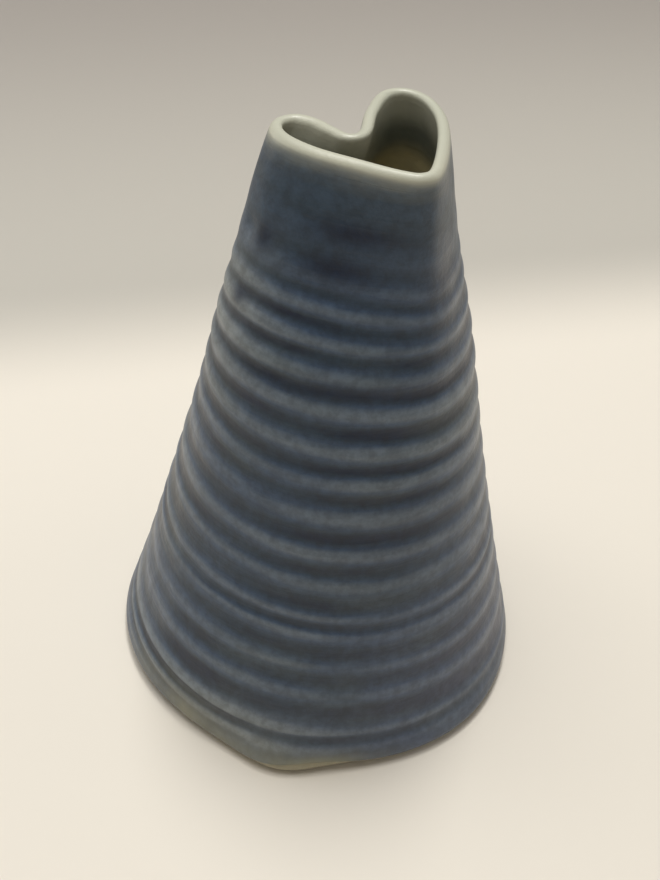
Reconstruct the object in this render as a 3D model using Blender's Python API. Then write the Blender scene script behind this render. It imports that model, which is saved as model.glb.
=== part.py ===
"""A wheel-thrown ceramic bud vase: a ringed cone whose mouth has been squeezed into a heart.

Metres, +Z up. The origin is the centre of the underside, where the vase stands.
The front of the vase, a flattened facet below the heart's long straight edge, faces -Y.
"""

import math

import bmesh
import bpy
import numpy as np

MM = 0.001

# The cone.
HEIGHT = 137 * MM
FOOT_RADIUS = 49.2 * MM
PROFILE_SAG = 2.3 * MM  # how far the side falls inside a straight line, half-way up
WAIST = 1.4 * MM  # and how much further it was drawn in where the squeezed neck begins
WAIST_HEIGHT = 115 * MM
WAIST_SPREAD = 18 * MM
LEAN = 1.7 * MM  # the cone's middle drifts this far to the right by the top
FLOOR_THICKNESS = 6 * MM
WALL_THICKNESS = 4 * MM
LIP_THICKNESS = 2.5 * MM
LIP_TAPER = 25 * MM  # the wall thins over this much of its height, below the lip

# The foot: a turned chamfer, and an edge knocked out of round.
CHAMFER = 1.6 * MM
FOOT_SWELL_HEIGHT = 7 * MM
FOOT_SWELLS = (  # (degrees to the right of the front, half-width in degrees, swell outwards)
    (-7, 11, 1.4 * MM),
    (50, 22, 1.2 * MM),
    (-40, 20, -0.7 * MM),
)

# The throwing rings: ridges left between the potter's fingers, at these heights on the front.
RING_CRESTS = tuple(
    height * MM
    for height in (7, 11.5, 21, 28.5, 36, 41.5, 50, 57, 66, 74, 81, 90, 96.5, 103, 109, 115, 122)
)
RING_DEPTH = 0.8 * MM
RING_TILT = 2.7 * MM  # each ring is this much lower on the right than in the middle
RING_FADE_START = 100 * MM
RING_FADE_END = 124 * MM
PLAIN_HEIGHTS = (126 * MM, 130 * MM)  # rows that carry the smooth wall above the last ring

# The mouth, seen from above: (x, y) on the outer edge of the lip, anticlockwise from the middle
# of the front facet, round the sharp front corner, the right lobe, the cleft and the left lobe.
MOUTH_OUTLINE = MM * np.array(
    [
        (0.6, -12.6), (8.6, -15.4), (13.6, -15.7), (16.8, -12), (18.2, 0), (17.6, 10), (14.4, 17.4),
        (9.2, 20.2), (4.2, 17.6), (1.8, 9.5), (1, 1.4), (-0.8, -0.9), (-3.4, 1), (-7.4, 4.3),
        (-11.7, 5.5), (-15.4, 3.4), (-16, -0.8), (-13.4, -5.2), (-7.4, -9.4),
    ]
)
SQUEEZE_START = 76 * MM  # below this height the cone is still round
SQUEEZE_POWER = 1.4

# The glazes. Each coat stands off the clay by a hair, so that the coats are bodies of their own.
GLAZE_THICKNESS = 0.4 * MM
GAP = 0.3 * MM
COAT = GLAZE_THICKNESS + GAP
GLAZE_LINE = 3.2 * MM  # the blue glaze is wiped off below this height
LIP_BAND = 3.2 * MM  # and stops this far below the top, where the pale liner rolls over

COLUMNS = 40
TURNS = math.tau * np.arange(COLUMNS) / COLUMNS  # anticlockwise from the front
FRONT = -math.pi / 2
OUTLINE_STEPS = 12
LIP_STEPS = 4


def smoothstep(low, high, value):
    """0 below low, 1 above high, and a smooth ramp between them."""
    t = min(max((value - low) / (high - low), 0.0), 1.0)
    return t * t * (3 - 2 * t)


def closed_spline(points):
    """A fine closed polyline on the Catmull-Rom curve through the points."""
    before, after, beyond = (np.roll(points, shift, axis=0) for shift in (1, -1, -2))
    t = (np.arange(OUTLINE_STEPS) / OUTLINE_STEPS)[None, :, None]
    start, end = points[:, None], after[:, None]
    before, beyond = before[:, None], beyond[:, None]
    bend = 2 * before - 5 * start + 4 * end - beyond
    twist = 3 * (start - end) + beyond - before
    curve = start + 0.5 * t * (end - before + t * (bend + t * twist))
    return curve.reshape(-1, 2)


def evenly_spaced(curve, count):
    """Points at equal distances round a closed polyline."""
    closed = np.vstack([curve, curve[:1]])
    distance = np.r_[0, np.cumsum(np.hypot(*np.diff(closed, axis=0).T))]
    targets = distance[-1] * np.arange(count) / count
    return np.column_stack([np.interp(targets, distance, closed[:, axis]) for axis in (0, 1)])


def headings(outline):
    """The direction of each edge of a closed outline, without jumps of a whole turn."""
    edges = np.roll(outline, -1, axis=0) - outline
    return np.unwrap(np.arctan2(edges[:, 1], edges[:, 0]))


MOUTH = evenly_spaced(closed_spline(MOUTH_OUTLINE), COLUMNS)
MOUTH_EDGE = np.hypot(*(MOUTH[1] - MOUTH[0]))
MOUTH_RADIUS = MOUTH_EDGE / (2 * math.sin(math.pi / COLUMNS))  # of the rim before it was squeezed
MOUTH_HEADINGS = headings(MOUTH)
ROUND_HEADINGS = math.tau * (np.arange(COLUMNS) + 0.5) / COLUMNS


def cone_radius(z):
    t = z / HEIGHT
    straight = FOOT_RADIUS + (MOUTH_RADIUS - FOOT_RADIUS) * t
    waist = WAIST * math.exp(-(((z - WAIST_HEIGHT) / WAIST_SPREAD) ** 2))
    return straight - 4 * PROFILE_SAG * t * (1 - t) - waist


def foot_swell(z):
    """How far the knocked edge of the foot stands out at each column."""
    degrees = (np.degrees(TURNS) + 180) % 360 - 180
    swell = sum(size * np.exp(-(((degrees - at) / width) ** 2)) for at, width, size in FOOT_SWELLS)
    return swell * math.exp(-((z / FOOT_SWELL_HEIGHT) ** 2))


def section(z):
    """The finished outer face at one height: a point for each column.

    Squeezing bends the wall and doesn't stretch it, so a section between the round cone and the
    heart has edges of one length, and each edge points part of the way from one to the other.
    """
    squeeze = max((z - SQUEEZE_START) / (HEIGHT - SQUEEZE_START), 0.0) ** SQUEEZE_POWER
    heading = (1 - squeeze) * ROUND_HEADINGS + squeeze * MOUTH_HEADINGS
    edges = np.column_stack([np.cos(heading), np.sin(heading)])
    edges -= edges.mean(axis=0)  # so that the outline closes
    outline = np.roll(np.cumsum(edges, axis=0), 1, axis=0)
    outline *= 2 * math.sin(math.pi / COLUMNS) * cone_radius(z)
    round_centre = np.array([LEAN * z / HEIGHT, 0])
    outline += (1 - squeeze) * round_centre + squeeze * MOUTH.mean(axis=0) - outline.mean(axis=0)
    outwards = np.column_stack([np.cos(FRONT + TURNS), np.sin(FRONT + TURNS)])
    return outline + foot_swell(z)[:, None] * outwards


def row(height, inset, tilt=0.0):
    """One ring of points round the wall, a distance inside the finished outer face."""
    points = []
    for column, z in enumerate(height - tilt * np.sin(TURNS)):
        outline = section(z)
        along = outline[(column + 1) % COLUMNS] - outline[column - 1]
        inward = np.array([-along[1], along[0]]) / np.hypot(*along)
        points.append((*(outline[column] + inset * inward), z))
    return points


def ringed_rows(low, high, inset):
    """The outer wall between two heights, with a row on each ridge and in each hollow between."""
    crests = np.array([crest for crest in RING_CRESTS if low < crest < high])
    hollows = (crests[1:] + crests[:-1]) / 2
    rows = []
    for height in sorted([*crests, *hollows]):
        tilt = RING_TILT * smoothstep(0, 4 * RING_TILT, min(height - low, high - height))
        depth = RING_DEPTH * (1 - smoothstep(RING_FADE_START, RING_FADE_END, height))
        rows.append(row(height, inset + depth * (height in hollows), tilt))
    return rows + [row(height, inset) for height in PLAIN_HEIGHTS]


def wall_thickness(z):
    return LIP_THICKNESS + (WALL_THICKNESS - LIP_THICKNESS) * smoothstep(0, LIP_TAPER, HEIGHT - z)


def inner_rows(inset):
    """The smooth inner face from the lip down to the floor, pushed further into the cavity by inset."""
    depths = (4, 8, 13, 19, 26, 35, 47, 63, 81, 99, 115)
    heights = [HEIGHT - depth * MM for depth in depths]
    return [row(z, wall_thickness(z) + inset) for z in heights]


def lip_rows(shrink):
    """The round lip, from its outer side over the top to its inner side, inside the finished one."""
    radius = LIP_THICKNESS / 2
    rows = []
    for angle in np.linspace(0, math.pi, LIP_STEPS + 1):
        inset = radius - (radius - shrink) * math.cos(angle)
        rows.append(row(HEIGHT - radius + (radius - shrink) * math.sin(angle), inset))
    return rows


def floor_rows(inset):
    """The rounded corner between the wall and the floor, and the edge of the flat floor."""
    corner = ((5, 0.8), (1.5, 4), (0, 9))  # (height above the floor, distance in from the wall)
    return [
        row(FLOOR_THICKNESS + inset + above * MM, WALL_THICKNESS + inset + inwards * MM)
        for above, inwards in corner
    ]


def loft(name, rows, material, capped):
    """A closed body through a list of rows, its two ends capped flat or joined to each other."""
    mesh = bmesh.new()
    rings = [[mesh.verts.new(point) for point in points] for points in rows]
    joins = list(zip(rings, rings[1:]))
    if capped:
        mesh.faces.new(rings[0])
        mesh.faces.new(rings[-1])
    else:
        joins.append((rings[-1], rings[0]))
    for lower, upper in joins:
        for i in range(COLUMNS):
            j = (i + 1) % COLUMNS
            mesh.faces.new((lower[i], lower[j], upper[j], upper[i]))
    bmesh.ops.recalc_face_normals(mesh, faces=mesh.faces)
    data = bpy.data.meshes.new(name)
    mesh.to_mesh(data)
    mesh.free()
    data.shade_smooth()
    data.set_sharp_from_angle(angle=math.radians(50))
    data.materials.append(material)
    body = bpy.data.objects.new(name, data)
    bpy.context.scene.collection.objects.link(body)
    return body


def principled(name, colour, roughness):
    material = bpy.data.materials.new(name)
    material.use_nodes = True
    shader = material.node_tree.nodes["Principled BSDF"]
    shader.inputs["Base Color"].default_value = (*colour, 1)
    shader.inputs["Roughness"].default_value = roughness
    return material


def make_clay_body():
    """The pot itself: foot, floor and wall in one piece of fired clay."""
    rows = [
        row(0, COAT + CHAMFER),
        row(CHAMFER * 0.5, COAT + CHAMFER * 0.3),
        row(CHAMFER * 1.2, COAT),
        row(GLAZE_LINE, COAT),
        *ringed_rows(GLAZE_LINE, HEIGHT - LIP_BAND, COAT),
        row(HEIGHT - LIP_BAND, COAT),
        *lip_rows(COAT),
        *inner_rows(-COAT),
        *floor_rows(-COAT),
    ]
    return loft("clay_body", rows, principled("fired_clay", (0.62, 0.58, 0.49), 0.8), capped=True)


def make_outer_glaze():
    """The blue coat, from just above the foot to just below the lip."""
    top = HEIGHT - LIP_BAND - GAP

    def face(inset):
        return [row(GLAZE_LINE, inset), *ringed_rows(GLAZE_LINE, top, inset), row(top, inset)]

    rows = face(0) + face(GLAZE_THICKNESS)[::-1]
    return loft("outer_glaze", rows, principled("blue_glaze", (0.075, 0.105, 0.165), 0.35), capped=False)


def make_liner_glaze():
    """The pale coat that lines the inside and rolls over the lip to meet the blue."""

    def face(depth):
        edge = row(HEIGHT - LIP_BAND, depth)
        return [edge, *lip_rows(depth), *inner_rows(-depth), *floor_rows(-depth)]

    rows = face(0)[::-1] + face(GLAZE_THICKNESS)
    return loft("liner_glaze", rows, principled("pale_glaze", (0.60, 0.62, 0.54), 0.3), capped=True)


def main():
    for old in list(bpy.data.objects):
        bpy.data.objects.remove(old)
    make_clay_body()
    make_outer_glaze()
    make_liner_glaze()


main()
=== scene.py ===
"""The looks of a wheel-thrown ceramic bud vase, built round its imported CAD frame.

Three fine bodies stand for the three CAD nodes: the fired clay, the blue outer glaze and the pale
liner. All three follow one wall: a round cone that is bent into a heart at the mouth, carrying the
spiral of ridges that the potter's fingers left. Metres, +Z up, front towards -Y.
"""

import math

import bpy
import numpy as np
from mathutils import Matrix, Vector


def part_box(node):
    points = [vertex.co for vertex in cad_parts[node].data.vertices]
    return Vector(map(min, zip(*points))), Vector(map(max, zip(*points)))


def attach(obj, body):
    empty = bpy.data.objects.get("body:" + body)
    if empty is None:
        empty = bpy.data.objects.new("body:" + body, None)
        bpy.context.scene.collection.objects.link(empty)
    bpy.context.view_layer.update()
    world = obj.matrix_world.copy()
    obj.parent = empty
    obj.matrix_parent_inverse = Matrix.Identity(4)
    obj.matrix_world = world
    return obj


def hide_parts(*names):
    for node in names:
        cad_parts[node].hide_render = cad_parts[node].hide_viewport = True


MM = 0.001

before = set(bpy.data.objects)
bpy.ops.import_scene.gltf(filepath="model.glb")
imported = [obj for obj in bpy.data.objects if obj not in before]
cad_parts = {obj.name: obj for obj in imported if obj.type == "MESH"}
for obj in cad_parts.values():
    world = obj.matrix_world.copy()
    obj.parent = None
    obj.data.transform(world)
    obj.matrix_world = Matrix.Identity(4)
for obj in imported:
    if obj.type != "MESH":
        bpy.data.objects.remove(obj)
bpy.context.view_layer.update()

# The cone, the wall and the mouth, as in the CAD model.
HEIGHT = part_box("liner_glaze")[1].z
FOOT_RADIUS = 49.2 * MM
PROFILE_SAG = 2.3 * MM  # how far the side falls inside a straight line, half-way up
WAIST = 1.4 * MM  # and how much further it was drawn in where the squeezed neck begins
WAIST_HEIGHT = 115 * MM
WAIST_SPREAD = 18 * MM
LEAN = 1.7 * MM  # the cone's middle drifts this far to the right by the top
FLOOR_THICKNESS = 6 * MM
WALL_THICKNESS = 4 * MM
LIP_THICKNESS = 2.5 * MM
LIP_TAPER = 25 * MM  # the wall thins over this much of its height, below the lip
MOUTH_OUTLINE = MM * np.array(
    [
        (0.6, -12.6), (8.6, -15.4), (13.6, -15.7), (16.8, -12), (18.2, 0), (17.6, 10), (14.4, 17.4),
        (9.2, 20.2), (4.2, 17.6), (1.8, 9.5), (1, 1.4), (-0.8, -0.9), (-3.4, 1), (-7.4, 4.3),
        (-11.7, 5.5), (-15.4, 3.4), (-16, -0.8), (-13.4, -5.2), (-7.4, -9.4),
    ]
)
SQUEEZE_START = 76 * MM  # below this height the cone is still round
SQUEEZE_POWER = 1.4

# The foot, with a rounder edge than the CAD's chamfer, knocked out of round.
BEVEL_WIDTH = 5.5 * MM
BEVEL_HEIGHT = 3.8 * MM
FOOT_SWELL_HEIGHT = 7 * MM
FOOT_SWELLS = (  # (degrees to the right of the front, half-width in degrees, swell outwards)
    (-7, 12, 3.3 * MM),
    (50, 24, 1.5 * MM),
    (-38, 18, -0.7 * MM),
    (-85, 25, 0.4 * MM),
)

# The floor inside, with the spiral of the potter's thumb, and the wave of the lip's edge.
FLOOR_CORNER = 7 * MM
CORNER_SHARE = 0.25  # the rounded corner takes this share of the floor's radius
THUMB_DEPTH = 0.2 * MM
THUMB_TURNS = 4
LIP_UNEVENNESS = 0.15 * MM

# The throwing ridges, all measured on the front: (height of a ridge, height of the hollow above
# it, how far it stands out, sharpness). A sharpness of 1 is a plain wave, and more is a narrow ridge.
RIDGES = np.array(
    [
        (7.0, 9.1, 0.30, 1.0), (11.1, 16.6, 0.45, 2.0), (20.8, 24.9, 0.30, 1.3),
        (28.3, 32.4, 0.32, 1.6), (36.9, 39.0, 0.40, 1.2), (41.4, 44.8, 0.45, 1.6),
        (49.9, 53.0, 0.35, 1.2), (57.2, 61.3, 0.45, 1.2), (66.1, 70.2, 0.32, 0.8),
        (74.0, 77.1, 0.35, 1.0), (81.2, 85.7, 0.50, 1.1), (89.8, 93.6, 0.60, 1.0),
        (96.6, 100.4, 0.48, 1.0), (102.8, 106.3, 0.45, 1.2), (109.0, 111.7, 0.32, 1.0),
        (114.3, 118.0, 0.14, 1.0), (122.0, 127.0, 0.08, 1.0), (132.0, 137.0, 0.0, 1.0),
    ]
)
RIDGE_MARKS = MM * RIDGES[:, :2].ravel()  # ridge, hollow, ridge, hollow and so on, upwards
RIDGE_TILT = 1.3 * MM  # the ridges lean: lower on the right
RIDGE_WAVER = 0.3 * MM  # and stray up and down by about this
RIDGE_VARIETY = 0.3  # the share by which their size varies round the pot
RIDGE_CENTRE = 0.45  # the share of a ridge's height that lies inside the cone's own face
RIDGE_FADE = 4 * MM  # they grow to full size over this height, above the foot's rounded edge
FULL_HOLLOW = 0.45 * MM  # beside a ridge of this size the glaze is at its darkest, from thick glaze and painted shade
HOLLOW_LIMIT = 1.3  # a larger ridge counts as no more than this many times that size
INNER_RING_PITCH = 9 * MM
INNER_RING_DEPTH = 0.35 * MM
INNER_RING_TOP = (4 * MM, 25 * MM)  # the inner rings fade in over this depth below the lip
INNER_RING_BASE = (10 * MM, 30 * MM)  # and out over this height above the foot
DENTS = (  # (degrees to the right of the front, height, half-width, depth)
    (-55, 119 * MM, 2.2 * MM, 0.5 * MM),
    (-21, 23.5 * MM, 2.4 * MM, 0.35 * MM),
)

# The glazes.
GLAZE_THICKNESS = 0.4 * MM
SEAM = 0.02 * MM  # the hair's breadth between one body and the next
GLAZE_LINE = 1.1 * MM  # the blue glaze's lower edge
GLAZE_LINE_WAVE = 0.15 * MM
GLAZE_LINE_RISE = 2.7 * MM  # where it was held for dipping, on the front of the foot
RISE_AT, RISE_WIDTH = 0, 17  # degrees
LIP_BAND = 3.2 * MM  # the pale coat's skirt outside, below the top of the lip
FADE_TOP = 1.0 * MM  # the glaze is all pale down to here, below the top of the lip
FADE_LENGTH = 1.1 * MM
FADE_WAVER = 0.3 * MM
EDGE_ROLL = 0.6 * MM  # the blue coat thins to a rounded edge over this much of its height
EDGE_THINNING = 0.9  # and by this share of its thickness

# Spots of glaze: (degrees to the right of the front, height, half-width in degrees, half-height,
# strength).
POOLS = (  # where it ran thick and dark
    (6, 124 * MM, 30, 2.4 * MM, 1.0),
    (-4, 117 * MM, 24, 2.8 * MM, 1.0),
    (-55, 119 * MM, 7, 3.0 * MM, 0.9),
    (5, 93.5 * MM, 45, 1.6 * MM, 0.9),
    (60, 114 * MM, 18, 7 * MM, 0.6),
    (28, 60 * MM, 24, 14 * MM, 0.3),
    (-58, 106 * MM, 5, 2.4 * MM, 0.8),
    (150, 96 * MM, 35, 3.0 * MM, 0.8),
    (-140, 120 * MM, 30, 3.0 * MM, 0.8),
)
THIN_SPOTS = (  # where it shows the clay
    (-2, 2.5 * MM, 22, 2.8 * MM, 1.0),
    (-24, 4 * MM, 18, 4 * MM, 0.6),
    (-48, 5 * MM, 16, 4 * MM, 0.55),
)
BREAKS = (  # where it breaks to a paler grey
    (-68, 103 * MM, 26, 12 * MM, 1.0),
    (-20, 9 * MM, 24, 7 * MM, 0.8),
    (165, 60 * MM, 30, 16 * MM, 0.6),
)

# The mesh: columns round the pot, and rows up it.
COLUMNS = 448
OUTLINE_STEPS = 40
LEVEL_COUNT = 400
FINE_STEP = 0.45 * MM  # between rows of the outer face
CLAY_STEP = 0.8 * MM
INNER_STEP = 0.9 * MM
COARSE_STEP = 1.5 * MM  # between rows that another body hides
LIP_STEPS = 16
BEVEL_STEPS = 11
CORNER_STEPS = 8
FLOOR_STEPS = 29
UNDERSIDE_STEPS = 40
UNDERSIDE_START = 0.02  # its innermost ring, as a share of its radius
EDGE_STEPS = 6
SHARP_ANGLE = math.radians(50)
WANDER_WAVES = 6  # sine waves in each random wave over the wall

TURNS = math.tau * np.arange(COLUMNS) / COLUMNS
SIDE = np.where(TURNS > math.pi, TURNS - math.tau, TURNS)  # the same, from -180 to 180 degrees
FRONT = -math.pi / 2
OUTWARDS = np.column_stack([np.cos(FRONT + TURNS), np.sin(FRONT + TURNS)])


def smoothstep(low, high, value):
    """Smoothly from 0 to 1 as the value goes from low to high."""
    t = np.clip((value - low) / (high - low), 0, 1)
    return t * t * (3 - 2 * t)


def closed_spline(points):
    """A fine closed polyline on the Catmull-Rom curve through the points."""
    before, after, beyond = (np.roll(points, shift, axis=0) for shift in (1, -1, -2))
    t = (np.arange(OUTLINE_STEPS) / OUTLINE_STEPS)[None, :, None]
    start, end = points[:, None], after[:, None]
    before, beyond = before[:, None], beyond[:, None]
    bend = 2 * before - 5 * start + 4 * end - beyond
    twist = 3 * (start - end) + beyond - before
    curve = start + 0.5 * t * (end - before + t * (bend + t * twist))
    return curve.reshape(-1, 2)


def evenly_spaced(curve, count):
    """Points at equal distances round a closed polyline."""
    closed = np.vstack([curve, curve[:1]])
    distance = np.r_[0, np.cumsum(np.hypot(*np.diff(closed, axis=0).T))]
    targets = distance[-1] * np.arange(count) / count
    return np.column_stack([np.interp(targets, distance, closed[:, axis]) for axis in (0, 1)])


def headings(outline):
    """The direction of each edge of a closed outline, without jumps of a whole turn."""
    edges = np.roll(outline, -1, axis=0) - outline
    return np.unwrap(np.arctan2(edges[:, 1], edges[:, 0]))


MOUTH = evenly_spaced(closed_spline(MOUTH_OUTLINE), COLUMNS)
MOUTH_RADIUS = np.hypot(*(MOUTH[1] - MOUTH[0])) / (2 * math.sin(math.pi / COLUMNS))
MOUTH_HEADINGS = headings(MOUTH)
ROUND_HEADINGS = math.tau * (np.arange(COLUMNS) + 0.5) / COLUMNS


def cone_radius(z):
    """The radius that the wall would have if the mouth weren't squeezed."""
    t = z / HEIGHT
    straight = FOOT_RADIUS + (MOUTH_RADIUS - FOOT_RADIUS) * t
    waist = WAIST * np.exp(-(((z - WAIST_HEIGHT) / WAIST_SPREAD) ** 2))
    return straight - 4 * PROFILE_SAG * t * (1 - t) - waist


def bump(degrees, at, width):
    """A smooth hill of height 1 round the pot, centred at an angle."""
    away = (degrees - at + 180) % 360 - 180
    return np.exp(-((away / width) ** 2))


def foot_swell(z):
    """How far the knocked edge of the foot stands out at each column."""
    swell = sum(size * bump(np.degrees(SIDE), at, width) for at, width, size in FOOT_SWELLS)
    return swell * math.exp(-((z / FOOT_SWELL_HEIGHT) ** 2))


def section(z):
    """The wall's outer face at one height, bent part of the way from a circle to the heart."""
    squeeze = max((z - SQUEEZE_START) / (HEIGHT - SQUEEZE_START), 0.0) ** SQUEEZE_POWER
    heading = (1 - squeeze) * ROUND_HEADINGS + squeeze * MOUTH_HEADINGS
    edges = np.column_stack([np.cos(heading), np.sin(heading)])
    edges -= edges.mean(axis=0)  # so that the outline closes
    outline = np.roll(np.cumsum(edges, axis=0), 1, axis=0)
    outline *= 2 * math.sin(math.pi / COLUMNS) * cone_radius(z)
    round_centre = np.array([LEAN * z / HEIGHT, 0])
    outline += (1 - squeeze) * round_centre + squeeze * MOUTH.mean(axis=0) - outline.mean(axis=0)
    return outline + foot_swell(z)[:, None] * OUTWARDS


LEVELS = np.linspace(0, HEIGHT, LEVEL_COUNT)
OUTLINES = np.stack([section(z) for z in LEVELS])
ALONG = np.roll(OUTLINES, -1, axis=1) - np.roll(OUTLINES, 1, axis=1)
INWARDS = np.stack([-ALONG[..., 1], ALONG[..., 0]], axis=-1) / np.linalg.norm(ALONG, axis=-1)[..., None]


def wall(heights, inset):
    """Points at a height for each column, a distance inside the wall's smooth outer face."""
    heights = np.broadcast_to(heights, COLUMNS)
    level = np.clip(heights / HEIGHT, 0, 1) * (LEVEL_COUNT - 1)
    low = np.minimum(level.astype(int), LEVEL_COUNT - 2)
    t = (level - low)[:, None]
    column = np.arange(COLUMNS)
    outline = (1 - t) * OUTLINES[low, column] + t * OUTLINES[low + 1, column]
    inwards = (1 - t) * INWARDS[low, column] + t * INWARDS[low + 1, column]
    return np.column_stack([outline + np.broadcast_to(inset, COLUMNS)[:, None] * inwards, heights])


def wander(seed, z, waves_round=4, wavelength=40 * MM):
    """A smooth random wave over the wall, about -1 to 1, that closes round the pot."""
    draw = np.random.default_rng(seed)
    total = 0.0
    for _ in range(WANDER_WAVES):
        round_count = draw.integers(0, waves_round + 1)
        rise = draw.uniform(-1, 1) * math.tau / wavelength
        total = total + np.sin(round_count * TURNS + rise * z + draw.uniform(0, math.tau))
    return total / (WANDER_WAVES / 2)


def foot_bevel(z):
    """How far the rounded edge of the foot turns in at a height."""
    below = np.maximum(1 - z / BEVEL_HEIGHT, 0)
    return BEVEL_WIDTH * (1 - np.sqrt(1 - below**2))


def ridge_phase(z):
    """Where the wall is between the ridges: a whole number on each, and one more every turn."""
    leaning = z + RIDGE_TILT * np.sin(TURNS) + RIDGE_WAVER * wander(1, z)
    numbers = np.arange(len(RIDGE_MARKS)) / 2
    below = np.minimum(leaning - RIDGE_MARKS[0], 0) / (2 * (RIDGE_MARKS[1] - RIDGE_MARKS[0]))
    above = np.maximum(leaning - RIDGE_MARKS[-1], 0) / (2 * (RIDGE_MARKS[-1] - RIDGE_MARKS[-2]))
    return np.interp(leaning, RIDGE_MARKS, numbers) + below + above + SIDE / math.tau


def ridges(z):
    """(how far the ringed face lies inside the smooth one, how deep in a hollow it is)."""
    size = MM * np.interp(z, RIDGE_MARKS[::2], RIDGES[:, 2]) * (1 + RIDGE_VARIETY * wander(2, z))
    sharpness = np.interp(z, RIDGE_MARKS[::2], RIDGES[:, 3])
    wave = (0.5 + 0.5 * np.cos(math.tau * ridge_phase(z))) ** sharpness
    size = size * smoothstep(BEVEL_HEIGHT, BEVEL_HEIGHT + RIDGE_FADE, z)
    hollow = 0.5 + (0.5 - wave) * np.clip(size / FULL_HOLLOW, 0, HOLLOW_LIMIT)
    return size * (1 - RIDGE_CENTRE - wave) + dents(z), hollow


def dents(z):
    """How deep the small dents are at each column."""
    total = 0.0
    for at, height, width, depth in DENTS:
        sideways = bump(np.degrees(SIDE), at, np.degrees(width / cone_radius(height)))
        upwards = np.exp(-(((z - height) / width) ** 2))
        total = total + depth * sideways * upwards
    return total


def inner_inset(z):
    """How far the inner face lies inside the outer one, with the faint rings of the inner hand."""
    thickness = LIP_THICKNESS + (WALL_THICKNESS - LIP_THICKNESS) * smoothstep(0, LIP_TAPER, HEIGHT - z)
    turning = z / INNER_RING_PITCH + SIDE / math.tau
    fade = smoothstep(*INNER_RING_TOP, HEIGHT - z) * smoothstep(*INNER_RING_BASE, z)
    return thickness - INNER_RING_DEPTH * fade * (0.5 + 0.5 * np.cos(math.tau * turning))


def lip_edge():
    """Where the round lip begins, at each column."""
    dip = LIP_UNEVENNESS * (0.5 + 0.5 * wander(3, 0.0, waves_round=3))
    return HEIGHT - LIP_THICKNESS / 2 - np.maximum(dip, 0)


def glaze_line():
    """The height of the blue glaze's lower edge at each column."""
    rise = GLAZE_LINE_RISE * bump(np.degrees(SIDE), RISE_AT, RISE_WIDTH)
    return GLAZE_LINE + rise + GLAZE_LINE_WAVE * wander(5, 0.0, waves_round=9)


def paleness(z):
    """How far the glaze on the outside has broken from blue to pale, from 0 to 1."""
    below = HEIGHT - FADE_TOP - z + FADE_WAVER * wander(6, z, waves_round=6, wavelength=20 * MM)
    return np.exp(-np.maximum(below, 0) / FADE_LENGTH)


# Rows. Each is (points, hollow, pale): a ring of points, how deep in a hollow each of them is, and
# how pale the glaze is there.


def heights_between(start, end, step):
    """Heights from start to end, about a step apart."""
    count = max(int(np.max(np.abs(end - start)) / step), 2)
    return [start + (end - start) * share for share in np.linspace(0, 1, count + 1)]


def plain_row(heights, inset):
    """A row on the wall, without ridges."""
    return wall(heights, inset), np.full(COLUMNS, 0.5), np.ones(COLUMNS)


def floor_row(ring, height):
    """A row of the floor or the underside."""
    points = np.column_stack([ring, np.broadcast_to(height, COLUMNS)])
    return points, np.full(COLUMNS, 0.5), np.ones(COLUMNS)


def ringed_rows(heights, inset):
    """Rows on the wall that carry the ridges and the rounded foot."""
    rows = []
    for height in heights:
        relief, hollow = ridges(np.broadcast_to(height, COLUMNS))
        rows.append((wall(height, relief + foot_bevel(height) + inset), hollow, paleness(height)))
    return rows


def lip_rows(shrink):
    """The round lip, from its outer side over the top to its inner side."""
    middle = LIP_THICKNESS / 2
    radius = middle - shrink
    rows = []
    for angle in np.linspace(0, math.pi, LIP_STEPS + 1):
        height = lip_edge() + radius * math.sin(angle)
        points, hollow, pale = plain_row(height, middle - radius * math.cos(angle))
        if angle < math.pi / 2:
            pale = paleness(height)
        rows.append((points, hollow, pale))
    return rows


def inner_rows(shrink, step):
    """The inner face from the lip down to the floor, and the floor in to its middle."""
    floor = FLOOR_THICKNESS - shrink
    corner = floor + FLOOR_CORNER
    rows = []
    for height in heights_between(lip_edge(), np.full(COLUMNS, corner), step)[1:]:
        rows.append(plain_row(height, inner_inset(height) - shrink))
    edge = rows[-1][0][:, :2]
    for share in np.linspace(0, 1, CORNER_STEPS + 1)[1:]:  # the rounded corner
        angle = share * math.pi / 2
        ring = edge * (1 - CORNER_SHARE * (1 - math.cos(angle)))
        rows.append(floor_row(ring, corner - FLOOR_CORNER * math.sin(angle)))
    for share in np.linspace(1, 0, FLOOR_STEPS + 1)[1:-1]:  # the floor, in to its middle
        swirl = THUMB_DEPTH * math.sin(math.pi * share) * np.sin(math.tau * THUMB_TURNS * share - SIDE)
        rows.append(floor_row(edge * (1 - CORNER_SHARE) * share, floor + swirl))
    return rows


def edge_rows(low):
    """The blue coat's rounded lower edge."""
    rows = []
    for angle in np.linspace(0, math.pi / 2, EDGE_STEPS + 1)[:-1]:
        height = low + EDGE_ROLL * (1 - math.cos(angle))
        thinning = EDGE_THINNING * GLAZE_THICKNESS * (1 - math.sin(angle))
        rows += ringed_rows([height], thinning)
    return rows


# Bodies.


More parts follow.
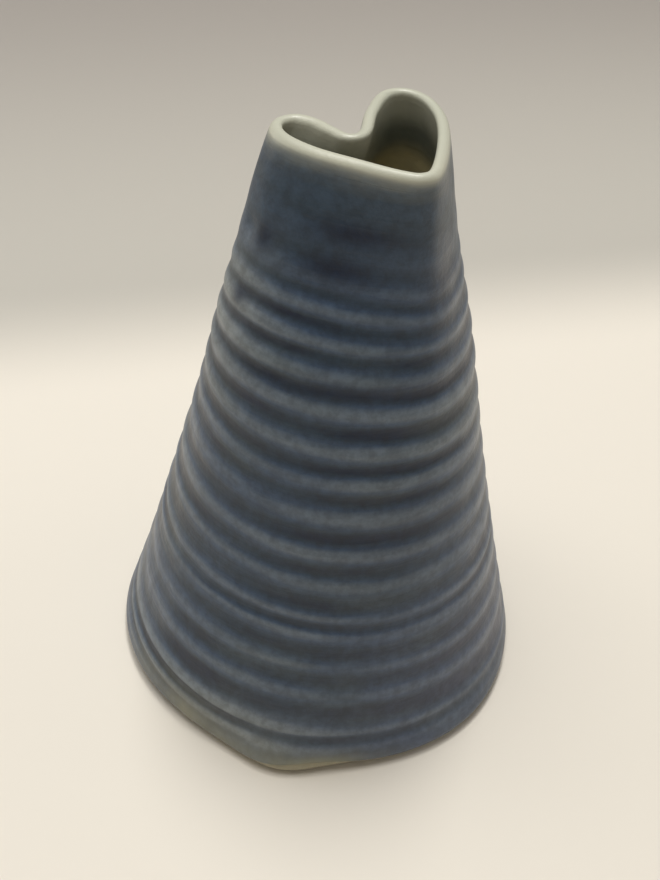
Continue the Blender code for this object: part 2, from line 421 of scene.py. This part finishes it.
def loft(name, rows, ringlike):
    """A closed body through rows of points: joined last to first, or capped at each end."""
    points = np.vstack([row[0] for row in rows])
    hollow, pale = (np.concatenate([row[part] for row in rows]) for part in (1, 2))
    grid = np.arange(len(points)).reshape(-1, COLUMNS)
    lower = grid if ringlike else grid[:-1]
    upper = np.roll(grid, -1, axis=0) if ringlike else grid[1:]
    corners = (lower, np.roll(lower, -1, axis=1), np.roll(upper, -1, axis=1), upper)
    faces = np.stack(corners, axis=-1).reshape(-1, 4).tolist()
    if not ringlike:
        bottom, top = len(points), len(points) + 1
        points = np.vstack([points, rows[0][0].mean(axis=0), rows[-1][0].mean(axis=0)])
        hollow, pale = np.r_[hollow, 0.5, 0.5], np.r_[pale, 1, 1]
        for i in range(COLUMNS):
            j = (i + 1) % COLUMNS
            faces.append((bottom, int(grid[0, j]), int(grid[0, i])))
            faces.append((top, int(grid[-1, i]), int(grid[-1, j])))
    mesh = bpy.data.meshes.new(name)
    mesh.from_pydata(points.tolist(), [], faces)
    mesh.shade_smooth()
    mesh.set_sharp_from_angle(angle=SHARP_ANGLE)
    mark(mesh, "hollow", hollow)
    mark(mesh, "pale", pale)
    mark(mesh, "pool", spots(points, POOLS))
    mark(mesh, "thin", spots(points, THIN_SPOTS))
    mark(mesh, "break", spots(points, BREAKS))
    body = bpy.data.objects.new(name, mesh)
    bpy.context.scene.collection.objects.link(body)
    return body


def mark(mesh, name, values):
    """Keep a number at each point, for the materials to follow."""
    attribute = mesh.attributes.new(name, "FLOAT", "POINT")
    attribute.data.foreach_set("value", np.ascontiguousarray(values, np.float32))


def spots(points, places):
    """Soft spots on the wall, from 0 to 1."""
    degrees = np.degrees(np.arctan2(points[:, 1], points[:, 0]) - FRONT)
    z = points[:, 2]
    total = 0.0
    for at, height, width, spread, strength in places:
        total = total + strength * bump(degrees, at, width) * np.exp(-(((z - height) / spread) ** 2))
    return np.clip(total, 0, 1)


def finish_body(body, material, node):
    """Give a body its material, hang it on the root, and hide the CAD node that it stands for."""
    body.data.materials.append(material)
    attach(body, "root")
    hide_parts(node)


def make_clay():
    """The fired pot: its underside, rounded foot, wall under the glazes and inner face."""
    inset = GLAZE_THICKNESS + SEAM
    underside = wall(0, inset + BEVEL_WIDTH)
    rows = []
    for share in np.linspace(UNDERSIDE_START, 1, UNDERSIDE_STEPS):
        rows.append(floor_row(underside[:, :2] * share, 0))
    for share in np.linspace(0, 1, BEVEL_STEPS + 1)[1:]:
        height = BEVEL_HEIGHT * (1 - math.cos(share * math.pi / 2))
        rows.append(plain_row(height, inset + foot_bevel(height)))
    foot = np.full(COLUMNS, BEVEL_HEIGHT)
    rows += ringed_rows(heights_between(foot, lip_edge(), CLAY_STEP)[1:-1], inset)
    rows += lip_rows(inset) + inner_rows(inset, COARSE_STEP)
    body = loft("fired_clay_body", rows, ringlike=False)
    finish_body(body, clay_material(), "clay_body")


def make_outer_glaze():
    """The blue coat, from its rounded edge above the foot to its seam with the liner."""
    low, high = glaze_line(), np.full(COLUMNS, HEIGHT - LIP_BAND)
    outside = ringed_rows(heights_between(low + EDGE_ROLL, high, FINE_STEP), 0)
    inside = ringed_rows(heights_between(high, low, COARSE_STEP), GLAZE_THICKNESS)
    body = loft("blue_glaze_coat", edge_rows(low) + outside + inside, ringlike=True)
    finish_body(body, glaze_material("blue_glaze"), "outer_glaze")


def make_liner():
    """The pale coat: a short skirt outside, the lip, the inner face and the floor."""

    def face(depth, step):
        skirt = np.full(COLUMNS, HEIGHT - LIP_BAND + SEAM)
        rows = ringed_rows(heights_between(skirt, lip_edge(), FINE_STEP)[:-1], depth)
        return rows + lip_rows(depth) + inner_rows(depth, step)

    rows = face(GLAZE_THICKNESS, COARSE_STEP)[::-1] + face(0, INNER_STEP)
    body = loft("pale_glaze_liner", rows, ringlike=False)
    finish_body(body, glaze_material("pale_glaze"), "liner_glaze")


# Materials. Lengths in metres, noise in cycles per metre, colours linear.


class Nodes:
    """Short calls for building one material's node tree."""

    def __init__(self, name):
        self.material = bpy.data.materials.new(name)
        self.material.use_nodes = True
        self.tree = self.material.node_tree
        self.shader = self.tree.nodes["Principled BSDF"]
        self.place = self.add("ShaderNodeTexCoord").outputs["Object"]

    def add(self, kind, **settings):
        node = self.tree.nodes.new(kind)
        for key, value in settings.items():
            setattr(node, key, value)
        return node

    def link(self, source, target):
        """Feed a socket from another socket, or set it to a number or a colour."""
        if hasattr(source, "is_linked"):
            self.tree.links.new(source, target)
        else:
            target.default_value = source

    def noise(self, per_metre, detail=3, roughness=0.5, stretch=(1, 1, 1)):
        """A noise of this many cycles per metre, times the stretch along each axis."""
        mapping = self.add("ShaderNodeMapping")
        self.link(self.place, mapping.inputs["Vector"])
        mapping.inputs["Scale"].default_value = stretch
        texture = self.add("ShaderNodeTexNoise")
        self.link(mapping.outputs[0], texture.inputs["Vector"])
        texture.inputs["Scale"].default_value = per_metre
        texture.inputs["Detail"].default_value = detail
        texture.inputs["Roughness"].default_value = roughness
        return texture.outputs["Fac"]

    def mark(self, name):
        """A number that the mesh keeps at each point."""
        return self.add("ShaderNodeAttribute", attribute_name=name).outputs["Fac"]

    def along(self, axis, place=None):
        """The place along X, Y or Z."""
        split = self.add("ShaderNodeSeparateXYZ")
        self.link(place or self.place, split.inputs[0])
        return split.outputs[axis]

    def math(self, operation, first, second=0.0):
        node = self.add("ShaderNodeMath", operation=operation)
        self.link(first, node.inputs[0])
        self.link(second, node.inputs[1])
        return node.outputs[0]

    def swing(self, noise, size):
        """The noise moved to either side of zero, and made this strong."""
        return self.math("MULTIPLY", self.math("SUBTRACT", noise, 0.5), size)

    def ramp(self, value, start, end, low=0.0, high=1.0):
        """Smoothly from low to high as the value goes from start to end."""
        node = self.add("ShaderNodeMapRange", interpolation_type="SMOOTHSTEP")
        for socket, number in zip(node.inputs[:5], (value, start, end, low, high)):
            self.link(number, socket)
        return node.outputs[0]

    def mix(self, share, first, second):
        """The first colour, turned to the second by a share. Sockets 6 and 7 are the colours."""
        node = self.add("ShaderNodeMix", data_type="RGBA")
        self.link(share, node.inputs[0])
        self.link(first, node.inputs[6])
        self.link(second, node.inputs[7])
        return node.outputs[2]

    def tint(self, share, base, colour):
        """The base turned half-way to a colour where the share is 1."""
        return self.mix(share, base, self.mix(0.5, base, colour))

    def tone(self, colour, factor):
        """The colour made darker or lighter by a factor."""
        node = self.add("ShaderNodeVectorMath", operation="SCALE")
        self.link(colour, node.inputs[0])
        self.link(factor, node.inputs["Scale"])
        return node.outputs[0]

    def colours(self, value, stops):
        """A band of colours, each at its own value."""
        node = self.add("ShaderNodeValToRGB")
        self.link(value, node.inputs[0])
        band = node.color_ramp
        while len(band.elements) < len(stops):
            band.elements.new(0.5)
        for element, (at, colour) in zip(band.elements, stops):
            element.position = at
            element.color = colour
        return node.outputs[0]

    def bumps(self, *layers):
        """Fine relief: each layer is (height value, depth in metres)."""
        normal = None
        for value, depth in layers:
            node = self.add("ShaderNodeBump")
            node.inputs["Distance"].default_value = depth
            self.link(value, node.inputs["Height"])
            if normal:
                self.link(normal, node.inputs["Normal"])
            normal = node.outputs[0]
        self.link(normal, self.shader.inputs["Normal"])


NAVY = (0.003, 0.012, 0.036, 1)
GROOVE = (0.017, 0.036, 0.064, 1)
SLATE = (0.039, 0.069, 0.126, 1)
RIDGE = (0.112, 0.146, 0.190, 1)
TEAL = (0.020, 0.038, 0.044, 1)
LAVENDER = (0.122, 0.135, 0.210, 1)
MOSS = (0.100, 0.125, 0.105, 1)
FROST = (0.265, 0.290, 0.290, 1)
STONE = (0.290, 0.280, 0.190, 1)
CELADON = (0.450, 0.475, 0.410, 1)
CREAM = (0.540, 0.530, 0.430, 1)
# painted shade inside the mouth
PAINTED_SHADE_SAGE = (0.170, 0.185, 0.155, 1)
# a warm olive, lightened as painted light for the deep inside
OLIVE_WITH_PAINTED_LIGHT = (0.620, 0.550, 0.330, 1)
CLAY_DARK = (0.30, 0.27, 0.19, 1)
CLAY_LIGHT = (0.42, 0.40, 0.30, 1)

GLAZE_AND_SHADE_COLOURS = ((0.0, RIDGE), (0.42, SLATE), (0.8, GROOVE), (1.0, NAVY))  # thin glaze to thick, with painted light on the ridges and painted shade in the hollows
STREAK_STRENGTH = 0.55
CLOUD_STRENGTH = 0.5
NOISE_SPAN = (0.3, 0.7)  # most of a noise's values lie between these
HOLLOW_TO_RIDGE = (0.9, 0.1)  # the glaze's thickness and painted shade, in a hollow and on a ridge
LILAC_SIDE = (-20 * MM, 45 * MM)  # from here to here the lilac grows, towards the right
LILAC_HEIGHTS = (70 * MM, 5 * MM)  # and down the wall
LILAC_SHARE = 0.6
MOSS_SPAN = (0.48, 0.68)  # the moss grows as its noise rises from the first to the second
MOSS_SHARE = 0.35
TEAL_HEIGHTS = (110 * MM, 126 * MM)  # the neck turns to teal over this
TEAL_SHARE = 0.38
BREAK_SHARES = (0.2, 0.75)  # how much a pale break shows, in a hollow and on a ridge
MOTTLE_TONES = (0.78, 1.22)  # the mottling darkens and lightens the glaze by these factors
BLOTCH_SPAN = (0.35, 0.6)  # a thin spot shows more clay as its noise rises between these
THINNEST_SHARE = 0.45  # but at least this much
RAGGEDNESS = (1.25, 0.75)  # the powers between which the pale edge strays, along the streaks
RIGHT_LOBE = (1 * MM, 7 * MM)  # the painted shade inside covers the lining's right half, which begins between these
RUN_LENGTH = 1.5 * MM  # the lining's colours run up and down by this
PAINTED_SHADE_DEPTHS = (4 * MM, 9 * MM)  # the painted shade inside, below the top of the lip
# where the olive and its painted light begin, below the top of the lip
OLIVE_AND_LIGHT_DEPTHS = (10 * MM, 15 * MM)
SATIN = (0.34, 0.46)  # the glaze's roughness, from its smoothest to its dullest


def wall_colour(nodes, cloud, streak):
    """The outside: pale slate on the ridges to navy in the hollows, part glaze thickness and part
    painted light and shade, with its tints and spots.
    """
    height = nodes.along("Z")
    across = nodes.along("X")
    # painted light and shade: the ridges are painted lighter and the hollows darker, on top of the
    # glaze's own thickness
    thickness = nodes.math("ADD", nodes.mark("hollow"), nodes.swing(streak, STREAK_STRENGTH))
    thickness = nodes.math("ADD", thickness, nodes.swing(cloud, CLOUD_STRENGTH))
    blue = nodes.colours(thickness, GLAZE_AND_SHADE_COLOURS)
    low = nodes.ramp(height, *LILAC_HEIGHTS, 0, LILAC_SHARE)
    lilac = nodes.math("MULTIPLY", nodes.ramp(across, *LILAC_SIDE), low)
    blue = nodes.tint(lilac, blue, LAVENDER)
    moss = nodes.ramp(nodes.noise(35, stretch=(1, 1, 2)), *MOSS_SPAN, 0, MOSS_SHARE)
    blue = nodes.tint(moss, blue, MOSS)
    blue = nodes.mix(nodes.ramp(height, *TEAL_HEIGHTS, 0, TEAL_SHARE), blue, TEAL)
    on_ridges = nodes.ramp(thickness, *HOLLOW_TO_RIDGE, *BREAK_SHARES)
    blue = nodes.mix(nodes.math("MULTIPLY", nodes.mark("break"), on_ridges), blue, FROST)
    return nodes.mix(nodes.mark("pool"), blue, NAVY)


def lining_colour(nodes, cloud):
    """The lip and the inside: celadon and cream, then a sage band of painted shade in the right half,
    and farther down a warm olive that is partly painted light.
    """
    pale = nodes.mix(nodes.noise(40), CELADON, CREAM)
    runs = nodes.math("ADD", nodes.along("Z"), nodes.ramp(cloud, *NOISE_SPAN, -RUN_LENGTH, RUN_LENGTH))
    # painted shade: a dark sage band inside the right half, 4 to 9 mm below the lip
    painted_shade = nodes.ramp(runs, *(HEIGHT - depth for depth in PAINTED_SHADE_DEPTHS))
    painted_shade = nodes.math("MULTIPLY", painted_shade, nodes.ramp(nodes.along("X"), *RIGHT_LOBE))
    pale = nodes.mix(painted_shade, pale, PAINTED_SHADE_SAGE)
    # partly painted light: the deep inside turns to a bright olive that stands in for the light
    # reaching down there
    return nodes.mix(nodes.ramp(runs, *(HEIGHT - depth for depth in OLIVE_AND_LIGHT_DEPTHS)), pale, OLIVE_WITH_PAINTED_LIGHT)


def glaze_material(name):
    """One satin glaze for both coats: blue on the wall, breaking to pale on the lip and inside."""
    nodes = Nodes(name)
    cloud = nodes.noise(28, detail=4)
    streak = nodes.noise(60, detail=5, stretch=(1, 1, 6))
    pits = nodes.noise(420, detail=5, roughness=0.65)
    throwing_lines = nodes.noise(120, detail=6, stretch=(0.15, 0.15, 9))
    mottle = nodes.ramp(pits, *NOISE_SPAN, *MOTTLE_TONES)
    blue = nodes.tone(wall_colour(nodes, cloud, streak), mottle)
    blotch = nodes.ramp(nodes.noise(45, detail=4), *BLOTCH_SPAN, THINNEST_SHARE, 1)
    blue = nodes.mix(nodes.math("MULTIPLY", nodes.mark("thin"), blotch), blue, STONE)
    ragged = nodes.ramp(streak, *NOISE_SPAN, *RAGGEDNESS)
    share = nodes.math("POWER", nodes.mark("pale"), ragged)
    nodes.link(nodes.mix(share, blue, lining_colour(nodes, cloud)), nodes.shader.inputs["Base Color"])
    sheen = nodes.ramp(nodes.noise(150), *NOISE_SPAN, *SATIN)
    nodes.link(sheen, nodes.shader.inputs["Roughness"])
    nodes.shader.inputs["Specular IOR Level"].default_value = 0.42
    nodes.shader.inputs["Coat Weight"].default_value = 0.15
    nodes.shader.inputs["Coat Roughness"].default_value = 0.22
    grain = nodes.noise(1100)
    nodes.bumps((grain, 0.04 * MM), (pits, 0.10 * MM), (throwing_lines, 0.10 * MM))
    return nodes.material


def clay_material():
    """Bare fired clay: matt and sandy."""
    nodes = Nodes("fired_clay")
    sand = nodes.noise(700, detail=6, roughness=0.7)
    nodes.link(nodes.mix(sand, CLAY_DARK, CLAY_LIGHT), nodes.shader.inputs["Base Color"])
    nodes.shader.inputs["Roughness"].default_value = 0.75
    nodes.bumps((sand, 0.15 * MM))
    return nodes.material


# The stage: a round floor of paper that curves up into a wall all round.
FLOOR_EDGE = 1.1
COVE_RADIUS = 0.6
COVE_TOP = 1.1
COVE_STEPS = 24
FLOOR_RINGS = (0.15, 0.4, 0.8)
STAGE_COLUMNS = 96
PAPER = (0.81, 0.765, 0.695, 1)
PAPER_FLECK = (0.7, 0.66, 0.6, 1)
FLECK_SHARE = 0.05
# painted shade behind the vase
PAINTED_SHADE_GREY = (0.50, 0.48, 0.44, 1)
PAINTED_SHADE_DARK = (0.345, 0.32, 0.30, 1)
SHADE_TURN = math.radians(16)  # the painted shade on the paper begins farther off on the right
SHADE_START = 0.095  # behind the vase the painted shade begins here
SHADE_NEAR = 0.155  # to here
SHADE_FAR = 0.42  # and darkens as far as here
SHADE_SIDE = 0.3  # farther to either side than this it grows pale again


def stage_material():
    """Matt paper, pale under the vase, with painted shade behind it."""
    nodes = Nodes("paper")
    turned = nodes.add("ShaderNodeVectorRotate", rotation_type="Z_AXIS")
    nodes.link(nodes.place, turned.inputs["Vector"])
    turned.inputs["Angle"].default_value = -SHADE_TURN
    behind = nodes.along("Y", turned.outputs[0])
    aside = nodes.math("ABSOLUTE", nodes.along("X"))
    fleck = nodes.math("MULTIPLY", nodes.noise(300, detail=2), FLECK_SHARE)
    table = nodes.mix(fleck, PAPER, PAPER_FLECK)
    # painted shade: the paper greys and darkens behind the vase, and fades back to pale at the sides
    shaded = nodes.mix(nodes.ramp(behind, SHADE_START, SHADE_NEAR), table, PAINTED_SHADE_GREY)
    shaded = nodes.mix(nodes.ramp(behind, SHADE_NEAR, SHADE_FAR), shaded, PAINTED_SHADE_DARK)
    shaded = nodes.mix(nodes.ramp(aside, SHADE_SIDE, 2 * SHADE_SIDE), shaded, table)
    nodes.link(shaded, nodes.shader.inputs["Base Color"])
    nodes.shader.inputs["Roughness"].default_value = 0.8
    return nodes.material


def make_stage():
    """The paper cove: a flat floor, then a quarter circle up to a low wall."""
    profile = [(radius, 0.0) for radius in FLOOR_RINGS]
    for angle in np.linspace(0, math.pi / 2, COVE_STEPS):
        run = FLOOR_EDGE + COVE_RADIUS * math.sin(angle)
        profile.append((run, COVE_RADIUS * (1 - math.cos(angle))))
    profile.append((FLOOR_EDGE + COVE_RADIUS, COVE_TOP))
    points, faces = [(0, 0, 0)], []
    for radius, z in profile:
        for turn in np.arange(STAGE_COLUMNS) * math.tau / STAGE_COLUMNS:
            points.append((radius * math.cos(turn), radius * math.sin(turn), z))
    for i in range(STAGE_COLUMNS):
        j = (i + 1) % STAGE_COLUMNS
        faces.append((0, 1 + i, 1 + j))
        for ring in range(len(profile) - 1):
            inner, outer = 1 + ring * STAGE_COLUMNS, 1 + (ring + 1) * STAGE_COLUMNS
            faces.append((inner + i, outer + i, outer + j, inner + j))
    mesh = bpy.data.meshes.new("paper_cove")
    mesh.from_pydata(points, [], faces)
    mesh.shade_smooth()
    mesh.materials.append(stage_material())
    cove = bpy.data.objects.new("paper_cove", mesh)
    bpy.context.scene.collection.objects.link(cove)


WARM_WHITE = (1, 0.985, 0.94)
NEUTRAL_WHITE = (1, 0.98, 0.95)
LIGHTS = (  # (name, place, the point that it faces, size, watts, colour)
    ("ceiling_light", (-0.15, 0.08, 1.2), (0, 0, 0), 0.9, 7.4, WARM_WHITE),
    ("back_light", (0.02, 0.36, 1.15), (0, 0, 0), 0.3, 5.4, WARM_WHITE),
    ("left_light", (-0.8, 0.2, 0.35), (0, 0, 0.05), 0.6, 0.9, NEUTRAL_WHITE),
    ("right_light", (0.8, 0.2, 0.35), (0, 0, 0.05), 0.6, 0.55, NEUTRAL_WHITE),
)
ROOM_COLOUR = (1.0, 0.96, 0.89, 1)
ROOM_STRENGTH = 0.2


def make_light(name, place, aim, size, power, colour):
    """One round soft light, turned to face a point."""
    data = bpy.data.lights.new(name, "AREA")
    data.shape = "DISK"
    data.size = size
    data.energy = power
    data.color = colour
    light = bpy.data.objects.new(name, data)
    bpy.context.scene.collection.objects.link(light)
    light.location = place
    direction = np.array(aim, float) - np.array(place, float)
    light.rotation_euler = Vector(direction).to_track_quat("-Z", "Y").to_euler()


def make_lights():
    """The lights, and the dim even light of the room."""
    world = bpy.data.worlds.new("soft_room")
    world.use_nodes = True
    background = world.node_tree.nodes["Background"]
    background.inputs["Color"].default_value = ROOM_COLOUR
    background.inputs["Strength"].default_value = ROOM_STRENGTH
    bpy.context.scene.world = world
    for light in LIGHTS:
        make_light(*light)


CAMERA_PLACE = (0.0006, -0.22298, 0.25481)
CAMERA_PITCH = math.radians(41.33)
CAMERA_YAW = math.radians(-0.176)
CAMERA_ROLL = math.radians(4.499)
CAMERA_LENS = 53.18  # millimetres, as the sensor's width is
SENSOR_WIDTH = 36
NEAREST_SEEN = 0.01


def make_camera():
    """The camera, looking down at the vase and rolled a little to the left."""
    down, turn, roll = CAMERA_PITCH, CAMERA_YAW, CAMERA_ROLL
    forward = np.array(
        [math.sin(turn) * math.cos(down), math.cos(turn) * math.cos(down), -math.sin(down)]
    )
    level_right = np.cross(forward, [0, 0, 1])
    level_right /= np.linalg.norm(level_right)
    level_up = np.cross(level_right, forward)
    right = math.cos(roll) * level_right + math.sin(roll) * level_up
    up = math.cos(roll) * level_up - math.sin(roll) * level_right
    place = Matrix.Identity(4)
    for row in range(3):
        place[row] = (right[row], up[row], -forward[row], CAMERA_PLACE[row])
    data = bpy.data.cameras.new("camera")
    data.lens = CAMERA_LENS
    data.sensor_width = SENSOR_WIDTH
    data.clip_start = NEAREST_SEEN
    camera = bpy.data.objects.new("camera", data)
    bpy.context.scene.collection.objects.link(camera)
    camera.matrix_world = place
    bpy.context.scene.camera = camera


make_clay()
make_outer_glaze()
make_liner()
make_stage()
make_lights()
make_camera()
bpy.context.scene.view_settings.view_transform = "Standard"
